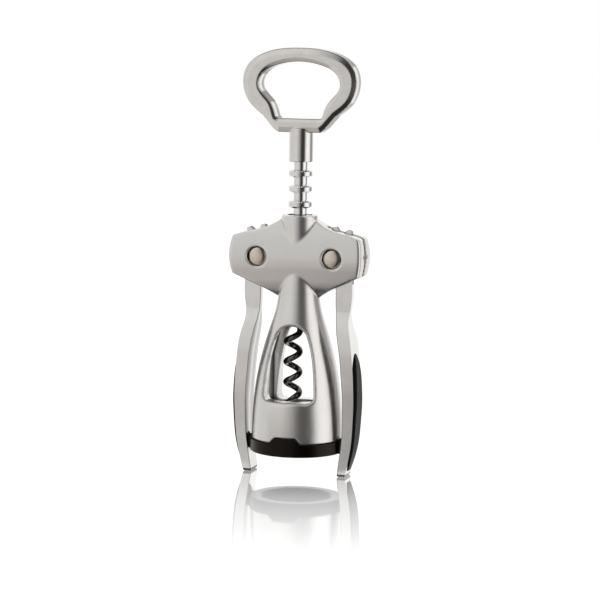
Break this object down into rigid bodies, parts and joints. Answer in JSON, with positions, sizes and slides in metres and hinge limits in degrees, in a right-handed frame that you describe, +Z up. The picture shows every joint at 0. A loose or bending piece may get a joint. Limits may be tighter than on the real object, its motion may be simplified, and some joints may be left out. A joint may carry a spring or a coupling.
{
  "type": "wing corkscrew",
  "caption": "Wing corkscrew with geared levers, a ringed rack spindle, an open bell over the worm and a cap-lifter handle.",
  "frame": {"origin": "on the spindle's axis, at the surface that the two lever tips stand on", "axes": "+Z up along the spindle from the bottle to the handle, front of the bell and handle towards -Y, levers at +X and -X"},
  "size_m": [0.0618, 0.042, 0.1896],
  "materials": {
    "satin_casting": "bead-blasted, satin-plated zinc casting",
    "satin_lever": "satin faces with polished sides",
    "polished_handle": "brushed front and back, polished edges",
    "polished_steel": "polished plated steel",
    "dark_worm_steel": "dark hardened wire",
    "black_gloss_plastic": "moulded, glossy",
    "black_soft_plastic": "moulded, semi-matt",
    "warm_pin_metal": "satin, warm nickel tone",
    "spring_steel": "plain steel"
  },
  "bodies": {
    "frame": {"frame_casting": "satin_casting", "base_ring": "black_gloss_plastic", "left_pivot_pin": "warm_pin_metal", "right_pivot_pin": "warm_pin_metal", "left_pivot_cap": "warm_pin_metal", "right_pivot_cap": "warm_pin_metal"},
    "slider": {"slip_ring": "spring_steel"},
    "spindle": {"rack_shaft": "polished_steel", "worm": "dark_worm_steel", "handle": "polished_handle", "spindle_clip": "spring_steel"},
    "left_arm": {"left_lever": "satin_lever", "left_lever_pad": "black_soft_plastic"},
    "right_arm": {"right_lever": "satin_lever", "right_lever_pad": "black_soft_plastic"}
  },
  "joints": [
    {"name": "rack_slide", "type": "slide", "parent": "frame", "child": "slider", "axis": [0, 0, -1], "range_m": [0, 0.034]},
    {"name": "screw_spin", "type": "hinge", "parent": "slider", "child": "spindle", "pos_m": [0, 0, 0.0758], "axis": [0, 0, -1], "continuous": true},
    {"name": "left_lever_swing", "type": "hinge", "parent": "frame", "child": "left_arm", "pos_m": [-0.0172, 0, 0.0976], "axis": [0, 1, 0], "range_deg": [0, 150]},
    {"name": "right_lever_swing", "type": "hinge", "parent": "frame", "child": "right_arm", "pos_m": [0.0172, 0, 0.0976], "axis": [0, -1, 0], "range_deg": [0, 150]}
  ],
  "couplings": [
    {"joint": "left_lever_swing", "follows": "rack_slide", "rad_per_m": 76.923},
    {"joint": "right_lever_swing", "follows": "rack_slide", "rad_per_m": 76.923}
  ]
}
